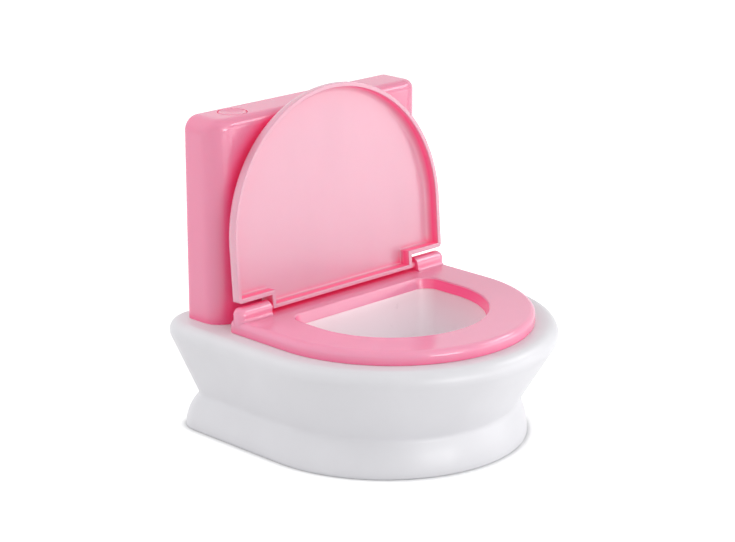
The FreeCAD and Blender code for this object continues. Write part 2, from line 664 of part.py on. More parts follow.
def speaker_frame():
    """A stamped basket: a flat lip against the panel and a shallow pan behind it."""
    face_y = PANEL_Y - TANK_T
    lip = speaker_rod(SPEAKER_R, face_y - SPEAKER_LIP_T, face_y)
    pan = speaker_rod(PAN_R, face_y - PAN_DEPTH, face_y - SPEAKER_LIP_T)
    inside = speaker_rod(PAN_R - PAN_T, face_y - PAN_DEPTH + PAN_T - 0.1, face_y + 1)
    return lip.fuse(pan).cut(inside).removeSplitter()


def speaker_cone():
    face_y = PANEL_Y - TANK_T
    wide, narrow = 10.0, 3.5
    cone = Part.makeCone(narrow, wide, CONE_DEPTH, V(SPEAKER_X, face_y - 3.2, SPEAKER_Z), V(0, 1, 0))
    inside = Part.makeCone(narrow - CONE_T, wide - CONE_T, CONE_DEPTH,
                           V(SPEAKER_X, face_y - 3.2 + CONE_T, SPEAKER_Z), V(0, 1, 0))
    return cone.cut(inside)


def speaker_magnet():
    pan_y = PANEL_Y - TANK_T - PAN_DEPTH - TOUCH
    magnet = speaker_rod(MAGNET_R, pan_y - MAGNET_T, pan_y)
    rim = edges_where(magnet, lambda p: near(p.y, pan_y - MAGNET_T))
    return magnet.makeFillet(0.5, rim)


def speaker_clamp():
    outer_y = PANEL_Y - TANK_T - SPEAKER_LIP_T - 0.06
    middle = speaker_rod(PAN_R + 1.0, outer_y - 3, outer_y + 1)
    ring = speaker_rod(CLAMP_R, outer_y - CLAMP_T, outer_y).cut(middle)
    holes = [rod(SPEAKER_SHANK_R + 0.3, V(at.x, outer_y - 3, at.z), V(at.x, outer_y + 1, at.z))
             for at in map(clamp_screw_place, range(CLAMP_SCREWS))]
    return ring.cut(holes)


def speaker_screws():
    """Small screws driven towards the panel, each with a thin pan head."""
    head_y = PANEL_Y - TANK_T - SPEAKER_LIP_T - 0.07 - CLAMP_T
    screws = []
    for at in map(clamp_screw_place, range(CLAMP_SCREWS)):
        head = rod(1.7, V(at.x, head_y - 1.0, at.z), V(at.x, head_y, at.z))
        shank = rod(SPEAKER_SHANK_R, V(at.x, head_y, at.z), V(at.x, head_y + 3.2, at.z))
        screws.append(head.fuse(shank).removeSplitter())
    return Part.makeCompound(screws)


def button_cells():
    start = -CELLS * CELL_T / 2
    cells = []
    for index in range(CELLS):
        x0 = start + index * CELL_T + TOUCH
        can = rod(CELL_R, V(x0 + 0.5, CELL_Y, CELL_Z), V(x0 + CELL_T - 2 * TOUCH, CELL_Y, CELL_Z))
        cap = rod(CELL_R - 0.9, V(x0, CELL_Y, CELL_Z), V(x0 + 0.5, CELL_Y, CELL_Z))
        cells.append(can.fuse(cap).removeSplitter())
    return Part.makeCompound(cells)


def wire_hole_x():
    return BOX_HALF_X - 1.3


def battery_contact_positive():
    """A sprung strip against the last cell, with a tail for its wire."""
    t = CONTACT_T
    face_x = CELLS * CELL_T / 2 + TOUCH
    wall_x = BOX_HALF_X - CONTACT_GAP
    low, high = CELL_Z - CONTACT_HALF_Z, CELL_Z + CONTACT_HALF_Z
    strip = block(face_x, face_x + t, CELL_Y - 4, CELL_Y + 4, low, high)
    foot = block(face_x, wall_x, CELL_Y - 4, CELL_Y - 4 + t, low, high)
    plate = block(wall_x - t, wall_x, CELL_Y - 5.6, CELL_Y + 4, low, high)
    return strip.fuse([foot, plate]).removeSplitter()


def battery_contact_negative():
    """A plate on the compartment's end wall with a coil that presses on the first cell."""
    plate_x = CONTACT_GAP - BOX_HALF_X
    cell_x = -CELLS * CELL_T / 2
    low, high = CELL_Z - CONTACT_HALF_Z, CELL_Z + CONTACT_HALF_Z
    plate = block(plate_x, plate_x + CONTACT_T, CELL_Y - 5.6, CELL_Y + 4, low, high)
    base = V(plate_x + CONTACT_T / 2, CELL_Y, CELL_Z)
    reach = cell_x - plate_x - 0.2
    spring = coil(CELL_SPRING_R, CELL_SPRING_WIRE_R, reach, CELL_SPRING_TURNS, base, V(1, 0, 0))
    return plate.fuse(spring).removeSplitter()


def battery_door():
    outer = PANEL_Y
    half_x, half_z = DOOR_HALF_X, DOOR_HALF_Z
    door = block(-half_x, half_x, outer - DOOR_T, outer, CELL_Z - half_z, CELL_Z + half_z)
    corners = edges_where(door, lambda p: near(abs(p.x), half_x) and near(abs(p.z - CELL_Z), half_z))
    door = door.makeFillet(0.8, corners)
    at = V(DOOR_SCREW_X, outer, CELL_Z)
    hole = rod(SHANK_R + PASS_GAP, at - V(0, 4, 0), at + V(0, 1, 0))
    sink = Part.makeCone(SHANK_R + PASS_GAP, HEAD_R + 0.3, DOOR_SINK, at - V(0, DOOR_SINK, 0), V(0, 1, 0))
    return door.cut([hole, sink])


def battery_door_screw():
    at = V(DOOR_SCREW_X, PANEL_Y, CELL_Z)
    neck = at - V(0, DOOR_SINK, 0)
    head = Part.makeCone(SHANK_R, HEAD_R, 1.0, neck, V(0, 1, 0))
    slot = rod(SLOT_R, at - V(0, 0.6, 0), at + V(0, 1, 0))
    shank = rod(SHANK_R, at - V(0, PANEL_SCREW_LEN, 0), neck)
    return head.cut(slot).fuse(shank).removeSplitter()


def battery_wires():
    under = BOARD_TOP_Z - BOARD_T - 0.3
    y = BOX_FRONT_Y + WIRE_HOLE_IN
    start_z = CELL_Z + 5.1
    x = wire_hole_x()
    plus = [V(x, y, start_z), V(x, y, 106), V(-4, 56.5, 118), V(-28, 55.6, 126), V(-44, 57, 132),
            V(-45, 58, under)]
    minus = [V(-x, y, start_z), V(-x, y, 106), V(-24, 56.5, 113), V(-42, 55.6, 120), V(-54, 57, 130),
             V(-55, 58, under)]
    return Part.makeCompound([tube(plus, WIRE_R), tube(minus, WIRE_R)])


def speaker_wires():
    under = BOARD_TOP_Z - BOARD_T - 0.3
    lip_y = PANEL_Y - TANK_T - 5.0
    routes = []
    for index, z in enumerate((108.0, 116.0)):
        drop = 2.4 * index
        tag_x = SPEAKER_X - 9.2
        end_x = drop * 0.9 - 42
        routes.append([V(tag_x, lip_y, z), V(tag_x, lip_y - 5, z + 1), V(16, 62, 124 + drop),
                       V(-8, 61, 131 + drop), V(-30, 62, 134 + drop), V(end_x, 67.5, 137),
                       V(end_x, 68.6, under)])
    return Part.makeCompound([tube(route, WIRE_R) for route in routes])


def build_all():
    return {
        "base_shell": base_shell(),
        "base_plate": base_plate(),
        "base_screws": base_screws(),
        "bowl_liner": bowl_liner(),
        "seat": seat(),
        "seat_screws": under_deck_screws(SEAT_SCREWS),
        "lid": lid(),
        "tank_front": tank_front(),
        "tank_back": tank_back(),
        "tank_screws": tank_screws(),
        "cistern_screws": under_deck_screws(CISTERN_SCREWS),
        "flush_button": flush_button(),
        "button_spring": button_spring(),
        "contact_pill": contact_pill(),
        "sound_board": sound_board(),
        "sound_chip": sound_chip(),
        "board_screws": board_screws(),
        "speaker_frame": speaker_frame(),
        "speaker_cone": speaker_cone(),
        "speaker_magnet": speaker_magnet(),
        "speaker_clamp": speaker_clamp(),
        "speaker_screws": speaker_screws(),
        "speaker_wires": speaker_wires(),
        "button_cells": button_cells(),
        "battery_contact_positive": battery_contact_positive(),
        "battery_contact_negative": battery_contact_negative(),
        "battery_door": battery_door(),
        "battery_door_screw": battery_door_screw(),
        "battery_wires": battery_wires(),
    }


os.makedirs("parts", exist_ok=True)
whole = None
for name, shape in build_all().items():
    box = shape.optimalBoundingBox()
    whole = FreeCAD.BoundBox(box) if whole is None else whole.united(box)
    print(name, "valid", shape.isValid(), "solids", len(shape.Solids), "volume", round(shape.Volume, 1))
    shape.exportStep("parts/" + name + ".step")
extent = (whole.XMin, whole.XMax, whole.YMin, whole.YMax, whole.ZMin, whole.ZMax)
print("whole", [round(v, 3) for v in extent])
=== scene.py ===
"""Looks of the toilet-shaped doll's potty: materials, finer shells, floor, light and camera.

Metres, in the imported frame: +Z is up, the front faces -Y, and the origin is on the ground. Lengths in the
functions that build a shell are in millimetres, and MM turns them into metres.
"""
import json
import math
import bmesh
import bpy
from mathutils import Matrix, Vector


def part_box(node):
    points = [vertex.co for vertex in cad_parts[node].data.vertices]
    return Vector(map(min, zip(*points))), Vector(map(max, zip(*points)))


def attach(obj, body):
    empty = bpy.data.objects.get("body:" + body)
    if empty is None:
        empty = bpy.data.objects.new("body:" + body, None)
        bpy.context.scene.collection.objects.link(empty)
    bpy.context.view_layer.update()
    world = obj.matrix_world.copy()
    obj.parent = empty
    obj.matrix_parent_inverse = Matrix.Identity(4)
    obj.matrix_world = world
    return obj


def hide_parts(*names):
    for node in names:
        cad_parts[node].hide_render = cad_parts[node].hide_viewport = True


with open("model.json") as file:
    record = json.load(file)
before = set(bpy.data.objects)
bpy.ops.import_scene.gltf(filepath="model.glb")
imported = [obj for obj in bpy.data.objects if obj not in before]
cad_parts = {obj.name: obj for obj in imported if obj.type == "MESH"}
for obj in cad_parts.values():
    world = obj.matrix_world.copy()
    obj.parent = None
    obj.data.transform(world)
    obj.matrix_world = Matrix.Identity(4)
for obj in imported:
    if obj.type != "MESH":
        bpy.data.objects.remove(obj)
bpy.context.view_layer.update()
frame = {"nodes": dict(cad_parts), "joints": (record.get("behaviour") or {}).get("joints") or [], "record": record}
MM = 0.001


# ---------------------------------------------------------------- materials

def new_material(name):
    material = bpy.data.materials.new(name)
    material.use_nodes = True
    nodes = material.node_tree.nodes
    return material, nodes, material.node_tree.links, nodes["Principled BSDF"]


def object_coordinates(nodes, links, scale=(1.0, 1.0, 1.0)):
    coordinates = nodes.new("ShaderNodeTexCoord")
    mapping = nodes.new("ShaderNodeMapping")
    mapping.inputs["Scale"].default_value = scale
    links.new(coordinates.outputs["Object"], mapping.inputs["Vector"])
    return mapping.outputs["Vector"]


def noise(nodes, links, vector, scale, detail=3.0, roughness=0.5):
    node = nodes.new("ShaderNodeTexNoise")
    node.inputs["Scale"].default_value = scale
    node.inputs["Detail"].default_value = detail
    node.inputs["Roughness"].default_value = roughness
    links.new(vector, node.inputs["Vector"])
    return node.outputs["Fac"]


def ramp(nodes, links, value, stops):
    node = nodes.new("ShaderNodeValToRGB")
    elements = node.color_ramp.elements
    elements[0].position, elements[0].color = stops[0][0], (*stops[0][1], 1)
    elements[1].position, elements[1].color = stops[-1][0], (*stops[-1][1], 1)
    for position, colour in stops[1:-1]:
        elements.new(position).color = (*colour, 1)
    links.new(value, node.inputs["Fac"])
    return node.outputs["Color"]


def spread(nodes, links, value, low, high):
    node = nodes.new("ShaderNodeMapRange")
    node.inputs["From Min"].default_value = 0.3
    node.inputs["From Max"].default_value = 0.7
    node.inputs["To Min"].default_value = low
    node.inputs["To Max"].default_value = high
    links.new(value, node.inputs["Value"])
    return node.outputs["Result"]


def bump(nodes, links, shader, height, strength, distance, below=None):
    node = nodes.new("ShaderNodeBump")
    node.inputs["Strength"].default_value = strength
    node.inputs["Distance"].default_value = distance
    links.new(height, node.inputs["Height"])
    if below is not None:
        links.new(below, node.inputs["Normal"])
    links.new(node.outputs["Normal"], shader.inputs["Normal"])
    return node.outputs["Normal"]


def scaled(colour, factor):
    return tuple(min(1.0, c * factor) for c in colour)


SINK_SCALE = 45.0            # broad, shallow waves where the plastic shrank as it set
SINK_DEPTH = 0.00008
GRAIN_SCALE = 1800.0         # the tool's own fine texture
GRAIN_DEPTH = 0.00002


def moulded_plastic(name, colour, rough, painted_shade_and_glow=None):
    """Injection-moulded plastic: faint flow marks in the colour, a fine texture and uneven gloss.

    The last argument is (deep colour, reach in metres, subsurface weight, glow): painted shade and glow,
    the deep colour that light takes on between facing walls and inside thin ones, painted into the colour
    and the emission, with real subsurface scattering at that weight.
    """
    material, nodes, links, shader = new_material(name)
    place = object_coordinates(nodes, links)
    flow = noise(nodes, links, object_coordinates(nodes, links, (1.0, 1.0, 0.35)), 28.0, 4.0)
    stops = [(0.30, scaled(colour, 0.975)), (0.52, colour), (0.75, scaled(colour, 1.02))]
    tint = ramp(nodes, links, flow, stops)
    if painted_shade_and_glow is not None:
        deep, reach, share, glow = painted_shade_and_glow
        tint = paint_shade_and_glow(nodes, links, shader, tint, deep, reach, glow)
        shader.inputs["Subsurface Weight"].default_value = share
        shader.inputs["Subsurface Radius"].default_value = SEEP_RADIUS
        shader.inputs["Subsurface Scale"].default_value = SEEP_SCALE
    links.new(tint, shader.inputs["Base Color"])
    wear = noise(nodes, links, place, 70.0, 5.0, 0.62)
    links.new(spread(nodes, links, wear, rough * 0.86, rough * 1.18), shader.inputs["Roughness"])
    broad = bump(nodes, links, shader, noise(nodes, links, place, SINK_SCALE, 2.0), 0.25, SINK_DEPTH)
    bump(nodes, links, shader, noise(nodes, links, place, GRAIN_SCALE, 2.0), 0.5, GRAIN_DEPTH, broad)
    return material


def paint_shade_and_glow(nodes, links, shader, tint, deep, reach, glow):
    """Paints shade and glow into the colour: mixes tint towards deep, with a little glow,
    near other surfaces or where the mesh is marked.
    """
    # Painted shade: the colour deepens where other surfaces stand near.
    nearness = nodes.new("ShaderNodeAmbientOcclusion")
    nearness.samples = 12
    nearness.inputs["Distance"].default_value = reach
    share = nodes.new("ShaderNodeMapRange")
    share.interpolation_type = "SMOOTHSTEP"
    share.inputs["From Min"].default_value = 0.15
    share.inputs["From Max"].default_value = 0.9
    share.inputs["To Min"].default_value = 1.0
    share.inputs["To Max"].default_value = 0.0
    links.new(nearness.outputs["AO"], share.inputs["Value"])
    marked = nodes.new("ShaderNodeAttribute")
    marked.attribute_name = "painted_shade_and_glow"
    most = nodes.new("ShaderNodeMath")
    most.operation = "MAXIMUM"
    links.new(share.outputs["Result"], most.inputs[0])
    links.new(marked.outputs["Fac"], most.inputs[1])
    mix = nodes.new("ShaderNodeMix")
    mix.data_type = "RGBA"
    links.new(most.outputs[0], mix.inputs[0])
    links.new(tint, mix.inputs[6])
    mix.inputs[7].default_value = (*deep, 1)
    # Painted glow: marked places and places between facing walls give out light in the deep colour, though no
    # lamp.
    faint = nodes.new("ShaderNodeMath")
    faint.operation = "MULTIPLY"
    faint.inputs[1].default_value = glow * PAINTED_NEAR_GLOW
    links.new(most.outputs[0], faint.inputs[0])
    shine = nodes.new("ShaderNodeMath")
    shine.operation = "MULTIPLY_ADD"
    shine.inputs[1].default_value = glow
    links.new(marked.outputs["Fac"], shine.inputs[0])
    links.new(faint.outputs[0], shine.inputs[2])
    shader.inputs["Emission Color"].default_value = (*deep, 1)
    links.new(shine.outputs[0], shader.inputs["Emission Strength"])
    return mix.outputs[2]


def metal(name, colour, rough, streak=(900.0, 60.0, 60.0)):
    """Plated or drawn metal: streaks along its length, cloudy plating and a little tarnish."""
    material, nodes, links, shader = new_material(name)
    place = object_coordinates(nodes, links)
    cloud = noise(nodes, links, place, 160.0, 4.0)
    tint = ramp(nodes, links, cloud, [(0.3, scaled(colour, 0.82)), (0.7, colour)])
    links.new(tint, shader.inputs["Base Color"])
    shader.inputs["Metallic"].default_value = 1.0
    lines = noise(nodes, links, object_coordinates(nodes, links, streak), 8.0, 3.0)
    links.new(spread(nodes, links, lines, rough * 0.7, rough * 1.4), shader.inputs["Roughness"])
    bump(nodes, links, shader, lines, 0.3, 0.00001)
    return material


WHITE = (0.735, 0.73, 0.76)
BOWL_WHITE = (0.93, 0.92, 0.945)
PINK_SEAT = (0.90, 0.325, 0.48)
PINK_LID = (0.775, 0.405, 0.51)
PINK_TANK = (0.865, 0.275, 0.42)
# The colour of the painted shade and glow between facing walls and on marked walls.
PAINTED_SHADE_PINK = (1.0, 0.08, 0.25)
SEEP_RADIUS = (1.6, 0.35, 0.55)
SEEP_SCALE = 0.002
PAINTED_NEAR_GLOW = 0.3              # how much painted glow the places between facing walls have
# Each is (painted deep colour, reach of the painted shade, subsurface weight, painted glow).
PINK_PAINTED_SHADE = (PAINTED_SHADE_PINK, 0.010, 0.2, 0.14)
TANK_PAINTED_SHADE = (PAINTED_SHADE_PINK, 0.018, 0.2, 0.22)
LID_PAINTED_SHADE = (PAINTED_SHADE_PINK, 0.005, 0.2, 0.14)
BUTTON_PAINTED_SHADE = (PAINTED_SHADE_PINK, 0.004, 0.2, 0.0)
# The bowl's painted shade is pink: painted light from the pink seat, in its corners and up its walls, with a faint
# glow.
BOWL_PAINTED_PINK = ((0.93, 0.55, 0.62), 0.02, 0.0, 0.03)
MATERIALS = {
    "white_shell": moulded_plastic("white_shell", WHITE, 0.40),
    "white_plate": moulded_plastic("white_plate", WHITE, 0.5),
    "white_bowl": moulded_plastic("white_bowl", BOWL_WHITE, 0.3, painted_shade_and_glow=BOWL_PAINTED_PINK),
    "pink_seat": moulded_plastic("pink_seat", PINK_SEAT, 0.13, painted_shade_and_glow=PINK_PAINTED_SHADE),
    "pink_lid": moulded_plastic("pink_lid", PINK_LID, 0.2, painted_shade_and_glow=LID_PAINTED_SHADE),
    "pink_tank": moulded_plastic("pink_tank", PINK_TANK, 0.2, painted_shade_and_glow=TANK_PAINTED_SHADE),
    "pink_panel": moulded_plastic("pink_panel", PINK_TANK, 0.34, painted_shade_and_glow=PINK_PAINTED_SHADE),
    "pink_button": moulded_plastic("pink_button", PINK_TANK, 0.15, painted_shade_and_glow=BUTTON_PAINTED_SHADE),
    "steel": metal("steel", (0.62, 0.62, 0.63), 0.3),
    "spring_steel": metal("spring_steel", (0.5, 0.5, 0.5), 0.3),
    "stamped_steel": metal("stamped_steel", (0.5, 0.5, 0.51), 0.35),
    "contact_nickel": metal("contact_nickel", (0.75, 0.74, 0.72), 0.2),
    "cell_steel": metal("cell_steel", (0.8, 0.8, 0.8), 0.16),
    "black_rubber": moulded_plastic("black_rubber", (0.03, 0.03, 0.03), 0.6),
    "board": moulded_plastic("board", (0.35, 0.24, 0.10), 0.5),
    "chip_resin": moulded_plastic("chip_resin", (0.02, 0.02, 0.02), 0.3),
    "cone_film": moulded_plastic("cone_film", (0.05, 0.05, 0.055), 0.4),
    "magnet": moulded_plastic("magnet", (0.10, 0.10, 0.11), 0.4),
    "white_clamp": moulded_plastic("white_clamp", (0.75, 0.75, 0.74), 0.45),
    "wire_red": moulded_plastic("wire_red", (0.5, 0.03, 0.03), 0.4),
    "wire_black": moulded_plastic("wire_black", (0.03, 0.03, 0.03), 0.4),
}
slot_of = {part["node"]: part["material_slot"] for part in frame["record"]["subparts"]}


def paint(piece, slot_name):
    piece.data.materials.clear()
    piece.data.materials.append(MATERIALS[slot_name])


for node_name, node in frame["nodes"].items():
    paint(node, slot_of[node_name])


# ---------------------------------------------------------------- outlines and lofts, in millimetres

# A D outline is (half_width, centre_y, back_y, corner_r): a front semicircle, straight sides and a
# straight back with rounded corners. Every D ring has the same number of points, so any two can be joined.
FRONT_STEPS = 96
SIDE_STEPS = 14
CORNER_STEPS = 10
BACK_STEPS = 26
ROUND_STEPS = 40
SHARP_ANGLE = 40.0           # edges that bend more than this stay crisp

PLAN_FOOT = (74.6, 4.1, 84.9, 14.0)
PLAN_WAIST = (70.15, 4.4, 76.95, 11.0)
PLAN_DECK = (89.3, -2.45, 88.97, 22.0)
PLAN_SEAT = (74.2, -0.5, 42.0, 4.0)
PLAN_MOUTH = (50.7, -0.4, 23.0, 9.3)
MOUTH_DRAFT = 1.5           # the mouth narrows by this much down its wall
PLAN_BOWL_FLOOR = (37.0, -0.4, 12.5, 9.0)


UP = Vector((0, 0, 1))


def inset(plan, d):
    half, centre_y, back_y, corner_r = plan
    return (half - d, centre_y, back_y - d, max(corner_r - d, 0.6))


def d_ring(plan):
    """Points round a D outline as (point, outward normal), from the right and round the front."""
    half, centre_y, back_y, corner_r = plan
    ring = []

    def arc(x, y, radius, start, end, steps):
        for step in range(steps):
            angle = start + (end - start) * step / steps
            normal = Vector((math.cos(angle), math.sin(angle), 0))
            ring.append((Vector((x, y, 0)) + normal * radius, normal))

    def line(start, end, normal, steps):
        for step in range(steps):
            ring.append((Vector(start).lerp(Vector(end), step / steps), Vector(normal)))

    side_y = back_y - corner_r
    corner_x = half - corner_r
    arc(0, centre_y, half, 0, -math.pi, FRONT_STEPS)
    line((-half, centre_y, 0), (-half, side_y, 0), (-1, 0, 0), SIDE_STEPS)
    arc(-corner_x, side_y, corner_r, math.pi, math.pi / 2, CORNER_STEPS)
    line((-corner_x, back_y, 0), (corner_x, back_y, 0), (0, 1, 0), BACK_STEPS)
    arc(corner_x, side_y, corner_r, math.pi / 2, 0, CORNER_STEPS)
    line((half, side_y, 0), (half, centre_y, 0), (1, 0, 0), SIDE_STEPS)
    return ring


def side_shade_shares(plan, share, least=0.0):
    """A share of painted shade and glow for each point of a D ring: full on its sides, which face away
    from the front lights, least where it faces front or back.
    """
    return [share * (least + (1 - least) * abs(normal.x)) for _, normal in d_ring(plan)]


def flat_ring(plan, z):
    return [point + Vector((0, 0, z)) for point, _ in d_ring(plan)]


def arc_angles(start, end, steps):
    return [math.radians(start + (end - start) * step / steps) for step in range(steps + 1)]


def rolled_rings(low, low_z, high, high_z, radius, at_top, shell, steps):
    """Rings that round the corner between a sloping wall and the flat at its top or bottom end.

    The wall runs from the low plan to the high one. shell is how far inside the surface the rings lie.
    """
    rings = []
    for step in range(steps + 1):
        ring = []
        for (foot, normal), (head, _) in zip(d_ring(low), d_ring(high)):
            slope = math.atan2((head - foot).dot(normal), high_z - low_z)
            if at_top:
                angle = -slope + (math.pi / 2 + slope) * step / steps
                reach = radius * (1 + math.sin(slope)) / math.cos(slope)
                z = high_z - radius + (radius - shell) * math.sin(angle)
                on_wall = -(high_z - z) * math.tan(slope)
            else:
                angle = -math.pi / 2 + (math.pi / 2 - slope) * step / steps
                reach = radius * math.cos(slope) / (1 + math.sin(slope))
                z = low_z + radius + (radius - shell) * math.sin(angle)
                on_wall = (z - low_z) * math.tan(slope)
            outwards = -reach + (radius - shell) * math.cos(angle) - on_wall
            on_ruling = foot.lerp(head, (z - low_z) / (high_z - low_z))
            ring.append(on_ruling + normal * outwards + Vector((0, 0, z)))
        rings.append(ring)
    return rings


def loft(mesh, rings, closed=False, caps=False, painted_shade_marks=None):
    """Quads between rings of points; closed joins the last ring to the first, and caps fills both ends.

    The last argument gives each point its share of painted shade and glow, ring by ring.
    """
    painted_shade_and_glow = mesh.verts.layers.float.get("painted_shade_and_glow") or mesh.verts.layers.float.new("painted_shade_and_glow")
    verts = [[mesh.verts.new(point * MM) for point in ring] for ring in rings]
    if painted_shade_marks is not None:
        for ring, painted_shade_shares in zip(verts, painted_shade_marks):
            for vert, share in zip(ring, painted_shade_shares):
                vert[painted_shade_and_glow] = share
    pairs = list(zip(verts, verts[1:]))
    if closed:
        pairs.append((verts[-1], verts[0]))
    for one, two in pairs:
        count = len(one)
        for i in range(count):
            j = (i + 1) % count
            mesh.faces.new((one[i], one[j], two[j], two[i]))
    if caps:
        mesh.faces.new(verts[0])
        mesh.faces.new(verts[-1])


def circle(centre, radius, across, along):
    return [centre + (across * math.cos(a) + along * math.sin(a)) * radius
            for a in (2 * math.pi * i / ROUND_STEPS for i in range(ROUND_STEPS))]


def turned(mesh, start, axis, profile):
    """A closed turned solid: profile is (distance along the axis, radius) from one end to the other."""
    across = axis.orthogonal().normalized()
    along = axis.cross(across)
    loft(mesh, [circle(start + axis * d, r, across, along) for d, r in profile], caps=True)


def sleeve(mesh, start, axis, length, outer_r, inner_r):
    """A closed tube with square ends."""
    across = axis.orthogonal().normalized()
    along = axis.cross(across)
    rings = [circle(start + axis * d, r, across, along)
             for d, r in ((0, outer_r), (length, outer_r), (length, inner_r), (0, inner_r))]
    loft(mesh, rings, closed=True)


def make_piece(name, mesh, body, node_name):
    """Turns the mesh into a smooth-shaded piece that rides on its body and stands for its CAD node."""
    bmesh.ops.recalc_face_normals(mesh, faces=mesh.faces)
    data = bpy.data.meshes.new(name)
    mesh.to_mesh(data)
    mesh.free()
    data.shade_smooth()
    data.set_sharp_from_angle(angle=math.radians(SHARP_ANGLE))
    piece = bpy.data.objects.new(name, data)
    bpy.context.scene.collection.objects.link(piece)
    weighted = piece.modifiers.new("weighted_normals", "WEIGHTED_NORMAL")
    weighted.keep_sharp = True
    weighted.weight = 80
    paint(piece, slot_of[node_name])
    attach(piece, body)
    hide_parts(node_name)
    return piece


# ---------------------------------------------------------------- pedestal

DECK_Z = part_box("base_shell")[1].z / MM
WAIST_Z = 18.6
WAIST_SOFT = 1.7            # half height of the soft bend at the waist
SHOULDER = 2.15             # how quickly the foot's flare reaches its full width
DECK_EDGE_R = 6.0
FOOT_EDGE_R = 0.5
WALL_TOP_Z = 50.0           # the wall's rings end here, below the deck's rolled edge
SHELL_T = 2.4
DECK_HOLE_GROW = 3.2        # how much wider the deck's hole is than the bowl's mouth
BASE_SCREWS = [(37.3, -44.4), (50.0, 60.0)]
POST_Z = 3.9                # foot of the screw posts
POST_R = 3.4
POST_BORE_R = 1.3
POST_SUNK = 0.5             # how far the posts run into the deck


def soft_ramp(x, width):
    """0 below -width, x above +width, and a smooth bend between."""
    if x <= -width:
        return 0.0
    if x >= width:
        return x
    return (x + width) ** 2 / (4 * width)


def pedestal_ring(z, gap):
    rise = soft_ramp(z - WAIST_Z, WAIST_SOFT) / (DECK_Z - WAIST_Z)
    drop = min(1.0, soft_ramp(WAIST_Z - z, WAIST_SOFT) / WAIST_Z)
    flare = 1 - (1 - drop) ** SHOULDER
    ring = []
    plans = zip(d_ring(PLAN_WAIST), d_ring(PLAN_DECK), d_ring(PLAN_FOOT))
    for (waist, normal), (deck, _), (foot, _) in plans:
        point = waist + (deck - waist) * rise + (foot - waist) * flare - normal * gap
        ring.append(point + Vector((0, 0, z)))
    return ring


def wall_heights(top):
    """Heights up the pedestal's wall, close together round the shoulder and the waist."""
    heights = [1.0, 2.0, 3.2, 4.5, 6.0, 7.5, 9.0, 10.5, 12.0, 13.5, 15.0]
    heights += [16.0 + 0.5 * step for step in range(11)]
    heights += [24.0 + (top - 24.0) * step / 8 for step in range(8)]
    return heights


def base_shell():
    mesh = bmesh.new()
    hole = inset(inset(PLAN_MOUTH, MOUTH_DRAFT), -DECK_HOLE_GROW)
    walls = (PLAN_WAIST, WAIST_Z, PLAN_DECK, DECK_Z, DECK_EDGE_R, True)
    heights = wall_heights(WALL_TOP_Z)
    rings = []
    for angle in arc_angles(-80, 0, 4):
        z = FOOT_EDGE_R * (1 + math.sin(angle))
        rings.append(pedestal_ring(z, FOOT_EDGE_R * (1 - math.cos(angle))))
    rings += [pedestal_ring(z, 0.0) for z in heights]
    rings += rolled_rings(*walls, 0.0, 14)
    rings += [flat_ring(inset(hole, -8.0), DECK_Z), flat_ring(hole, DECK_Z)]
    rings.append(flat_ring(hole, DECK_Z - SHELL_T))
    rings += rolled_rings(*walls, SHELL_T, 8)[::-1]
    rings += [pedestal_ring(z, SHELL_T) for z in heights[::-1]]
    rings.append(pedestal_ring(0.01, SHELL_T))
    loft(mesh, rings, closed=True)
    post_len = DECK_Z - SHELL_T - POST_Z + POST_SUNK
    for x, y in BASE_SCREWS:
        for side in (1, -1):
            sleeve(mesh, Vector((side * x, y, POST_Z)), UP, post_len, POST_R, POST_BORE_R)
    return make_piece("pedestal", mesh, "chair", "base_shell")


# ---------------------------------------------------------------- bowl

BOWL_T = 2.0
FLANGE_T = 1.15
FLANGE_GROW = 7.2           # the flange's edge, beyond the bowl's mouth
BOWL_FLOOR_Z = 20.0
BOWL_FLOOR_R = 6.0
FLOOR_CAP_IN = 8.0          # the flat middle of the floor lies this far inside its outline


def bowl():
    mesh = bmesh.new()
    top_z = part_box("bowl_liner")[1].z / MM
    flange_z = top_z - FLANGE_T
    mouth = inset(PLAN_MOUTH, MOUTH_DRAFT)
    outer_floor = inset(PLAN_BOWL_FLOOR, -BOWL_T)
    under_z = BOWL_FLOOR_Z - BOWL_T
    inside = rolled_rings(PLAN_BOWL_FLOOR, BOWL_FLOOR_Z, mouth, top_z, BOWL_FLOOR_R, False, 0.0, 10)
    outer_r = BOWL_FLOOR_R + BOWL_T
    outside = rolled_rings(outer_floor, under_z, inset(mouth, -BOWL_T), top_z, outer_r, False, 0.0, 10)
    rings = [flat_ring(inset(PLAN_BOWL_FLOOR, FLOOR_CAP_IN), BOWL_FLOOR_Z)]
    rings += inside
    middle = [point for point, _ in d_ring(PLAN_BOWL_FLOOR)]
    rim = [point for point, _ in d_ring(mouth)]
    for share in (0.35, 0.5, 0.65, 0.8, 0.92, 0.985):
        z = BOWL_FLOOR_Z + (top_z - BOWL_FLOOR_Z) * share
        rings.append([a.lerp(b, share) + Vector((0, 0, z)) for a, b in zip(middle, rim)])
    rings.append(flat_ring(inset(mouth, -0.5), top_z))
    edge = inset(mouth, -FLANGE_GROW)
    rings += [flat_ring(inset(edge, 0.3), top_z), flat_ring(edge, top_z - 0.3), flat_ring(edge, flange_z)]
    rings.append(flat_ring(inset(mouth, -BOWL_T - 0.3), flange_z))
    rings += outside[::-1]
    rings.append(flat_ring(inset(outer_floor, FLOOR_CAP_IN + BOWL_T), under_z))
    # Painted pink light from the seat: the bowl's wall takes on more of it towards the rim, most on its sides.
    painted_shade_marks = []
    for ring in rings:
        rise = max(0.0, (ring[0].z - BOWL_FLOOR_Z) / (top_z - BOWL_FLOOR_Z))
        painted_shade_marks.append(side_shade_shares(mouth, 0.7 * rise ** 3, 0.6))
    loft(mesh, rings, caps=True, painted_shade_marks=painted_shade_marks)
    return make_piece("bowl", mesh, "chair", "bowl_liner")


